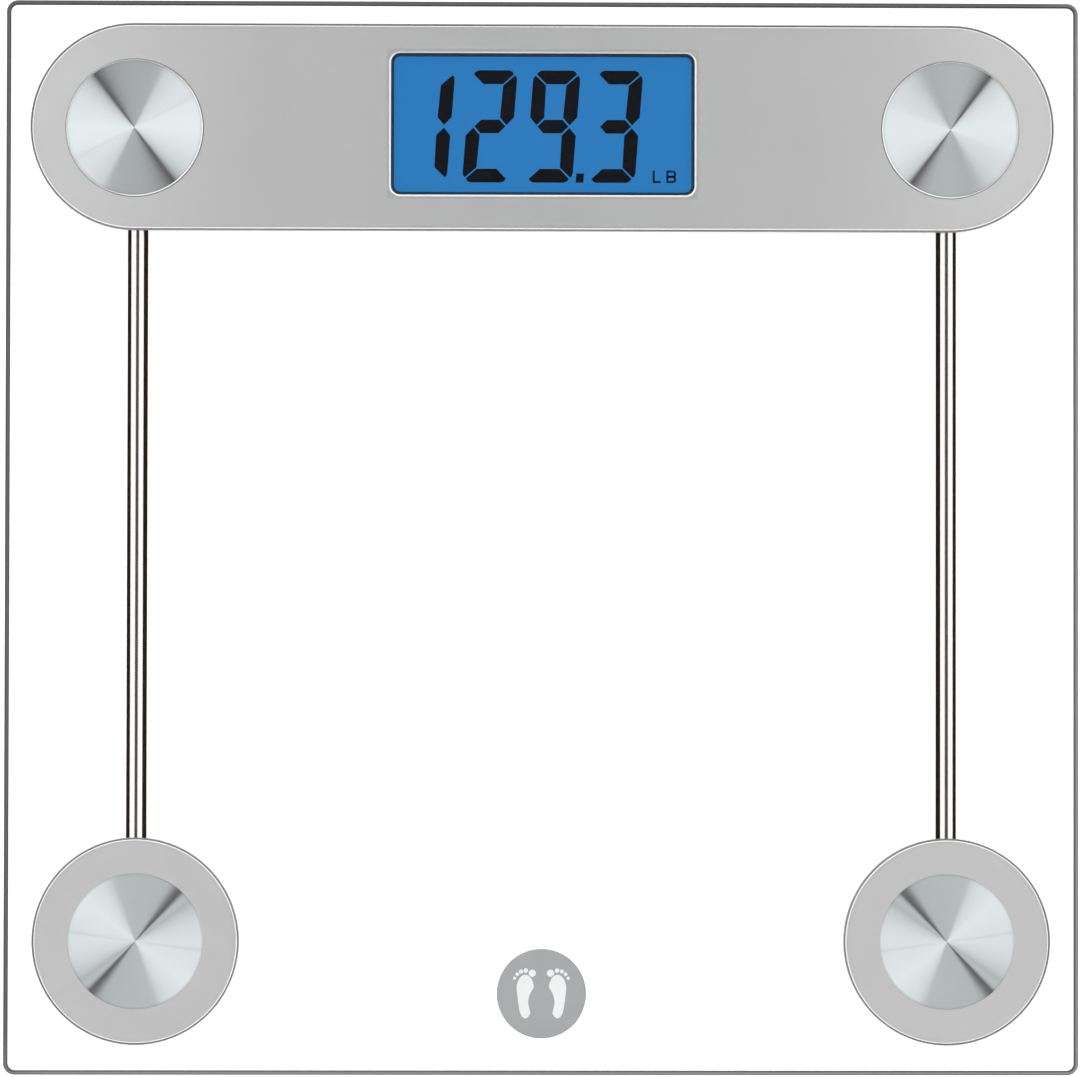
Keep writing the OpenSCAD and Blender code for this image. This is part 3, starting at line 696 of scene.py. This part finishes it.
for low_at, high_at in ((0, unit_h / 2 + thin / 2), (unit_h / 2 - thin / 2, unit_h)):
    outlines_b = [bowl(low_at, high_at, 0), bowl(low_at, high_at, thin)]
    mesh = outline_mesh("unit_b", outlines_b, ink_base, ink_base + INK_DEPTH)
    new_piece("unit_b_" + ("lower" if low_at == 0 else "upper"), mesh, [INK.material])
mesh = outline_mesh("reading", outlines, ink_base, ink_base + INK_DEPTH)
new_piece("display_reading", mesh, [INK.material])


# ---------------------------------------------------------------- badge

badge_centre, badge_size = span("printed_badge")
ink_top = badge_centre.z + badge_size.z / 2
ink_low = badge_centre.z - badge_size.z / 2
INK_GREY = moulded_plastic("badge_grey", (0.385, 0.388, 0.395), 0.5, 0.002)
INK_WHITE = moulded_plastic("badge_white", (0.86, 0.86, 0.86), 0.5, 0.002)
PRINT_DEPTH = 0.05 * MM
mesh = outline_mesh("badge_disc", [circle(badge_centre, badge_size.x / 2)],
                    ink_low, ink_top - PRINT_DEPTH)
new_piece("badge_disc", mesh, [INK_GREY], replaces=["printed_badge"])


def sole(centre, length, outer):
    """Footprint without its toes: heel, narrow arch on the inner side, and a wide ball."""
    points = []
    for k in range(56):
        turn = 2 * math.pi * k / 56
        along = (1 - math.cos(turn)) / 2
        arch = max(0.0, 1 - ((along - 0.42) / 0.3) ** 2)
        waist = 0.03 if math.sin(turn) > 0 else 0.13
        half_width = 0.17 + 0.075 * along - waist * arch
        points.append((centre[0] + outer * math.sin(turn) * half_width * length,
                       centre[1] + (along - 0.5) * length))
    return points


SOLE_LENGTH, SOLE_APART, SOLE_DROP = 12.2 * MM, 4.5 * MM, 0.8 * MM
# Toes lie on an ellipse round the ball of the foot: angle and radius as a share of the sole
TOES = ((124, 0.083), (92, 0.053), (70, 0.048), (50, 0.043), (31, 0.038))
prints = []
for outer in (-1, 1):
    foot_x = badge_centre.x + outer * SOLE_APART
    foot_y = badge_centre.y - SOLE_DROP
    prints.append(sole((foot_x, foot_y), SOLE_LENGTH, outer))
    for angle, toe in TOES:
        turn = math.radians(angle)
        x = foot_x + outer * 0.286 * SOLE_LENGTH * math.cos(turn)
        y = foot_y + (0.235 + 0.36 * math.sin(turn)) * SOLE_LENGTH
        prints.append(circle((x, y), toe * SOLE_LENGTH, 24))
bm = bmesh.new()
for outline in prints:
    bm.from_mesh(outline_mesh("badge_print", [outline], ink_top - PRINT_DEPTH, ink_top))
new_piece("badge_footprints", bm, [INK_WHITE])


# ---------------------------------------------------------------- tubes

# How upright a face's normal is where a tube's painted dark side reflections end and its painted
# dark crest reflection begins
SIDE_END, CREST_START = 0.805, 0.9925
TUBE_BEVEL, TUBE_WALL = 0.2 * MM, 0.75 * MM

for side in SIDES:
    node = "rail_" + side
    c, s = span(node)
    r = s.x / 2
    low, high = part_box(node)
    rings = []
    for y, radius in ((low[1], r - TUBE_BEVEL), (low[1] + TUBE_BEVEL, r),
                      (high[1] - TUBE_BEVEL, r), (high[1], r - TUBE_BEVEL),
                      (high[1], r - TUBE_WALL), (low[1], r - TUBE_WALL)):
        rings.append([(c.x + x, y, c.z + z) for x, z in circle((0, 0), radius, 144)])
    tube = new_piece("tube_" + side, loft(rings, closed=True), [CHROME, TUBE_SIDE_PAINTED_REFLECTION, TUBE_CREST_PAINTED_REFLECTION],
                     replaces=[node])
    # Painted reflection: dark sides and crest chosen by how upright each face is, chrome between
    for face in tube.data.polygons:
        lean = abs(face.normal.z)
        face.material_index = 1 if lean < SIDE_END else 2 if lean > CREST_START else 0
    smooth(tube.data, 30)


# ---------------------------------------------------------------- CAD nodes

def dress(nodes, material):
    """Gives CAD nodes a material."""
    for node in nodes:
        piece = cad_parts[node]
        if not piece.material_slots:
            piece.data.materials.append(material)
        for slot in piece.material_slots:
            slot.material = material


dress(["bond_films"], film.material)
dress(["display_housing", "rear_housing_left", "rear_housing_right"], SILVER)
dress(["display_cover", "rear_cover_left", "rear_cover_right", "battery_door"], GREY)
dress(["foot_cap_" + f for f in FEET], GREY)
dress(["foot_pad_" + f for f in FEET], PAD)
dress(["load_beam_" + f for f in FEET] + ["load_frame_" + f for f in FEET], STEEL)
dress(["display_screws", "board_screws", "rear_screws_left", "rear_screws_right",
       "coin_cell_front", "coin_cell_back"], STEEL)
dress(["battery_contact_plus", "battery_contact_minus", "battery_bridge"], SPRING)
dress(["lcd_cell"], LCD)
dress(["lcd_holder", "lcd_light_guide"] + ["sensor_cable_" + f for f in FEET], WHITE)
dress(["lcd_contact_strips"], STRIP)
dress(["display_board"], BOARD)
dress(["board_components", "unit_switch_body", "unit_switch_knob"], BLACK)
dress(["battery_leads"], RED)


# ---------------------------------------------------------------- studio

def floor_finish():
    """Pale matt floor that is lit a little from below, and open from underneath."""
    f = Finish("floor", Roughness=0.9, Emission_Color=(1, 1, 1, 1), Emission_Strength=0.7)
    f.feed("Base Color", f.mix(f.noise(3, 4), (0.82, 0.82, 0.82), (0.80, 0.80, 0.80)))
    under = f.add("NewGeometry").outputs["Backfacing"]
    clear = f.add("BsdfTransparent").outputs[0]
    mixed = f.add("MixShader", {0: under, 1: f.shader.outputs[0], 2: clear}).outputs[0]
    f.links.new(mixed, f.nodes["Material Output"].inputs["Surface"])
    return f.material


bm = bmesh.new()
bmesh.ops.create_grid(bm, x_segments=2, y_segments=2, size=4.0)
floor_mesh = bpy.data.meshes.new("floor")
bm.to_mesh(floor_mesh)
bm.free()
floor_mesh.materials.append(floor_finish())
floor = bpy.data.objects.new("floor", floor_mesh)
bpy.context.collection.objects.link(floor)

world = bpy.data.worlds.new("studio")
bpy.context.scene.world = world
world.use_nodes = True
nodes, links = world.node_tree.nodes, world.node_tree.links
backdrop = nodes["Background"]
height = nodes.new("ShaderNodeSeparateXYZ")
links.new(nodes.new("ShaderNodeTexCoord").outputs["Generated"], height.inputs[0])
sky = nodes.new("ShaderNodeValToRGB")
links.new(height.outputs["Z"], sky.inputs[0])
# Brightness against height, with a small dark patch straight above that black print mirrors
SKY = ((0.12, 0.22), (0.34, 1.0), (0.45, 1.18), (0.9, 1.18), (0.958, 1.0), (0.972, 0.012),
       (1.0, 0.012))
while len(sky.color_ramp.elements) < len(SKY):
    sky.color_ramp.elements.new(0.5)
for element, (at, value) in zip(sky.color_ramp.elements, SKY):
    element.position = at
    element.color = (value, value, value, 1)
path = nodes.new("ShaderNodeLightPath")
seen = nodes.new("ShaderNodeMix")
seen.data_type = "RGBA"
links.new(path.outputs["Is Camera Ray"], seen.inputs[0])
links.new(sky.outputs["Color"], seen.inputs[6])
seen.inputs[7].default_value = (0.95, 0.95, 0.95, 1)
links.new(seen.outputs[2], backdrop.inputs["Color"])
backdrop.inputs["Strength"].default_value = 1.0


camera_data = bpy.data.cameras.new("camera")
camera_data.lens = 200
camera_data.sensor_width = 36
camera_data.clip_end = 20
camera = bpy.data.objects.new("camera", camera_data)
camera.location = (-0.0288, -0.0395, 1.6976)
camera.rotation_euler = (math.radians(1.338), math.radians(-0.965), math.radians(0.101))
bpy.context.collection.objects.link(camera)
scene = bpy.context.scene
scene.camera = camera
scene.view_settings.view_transform = "Standard"
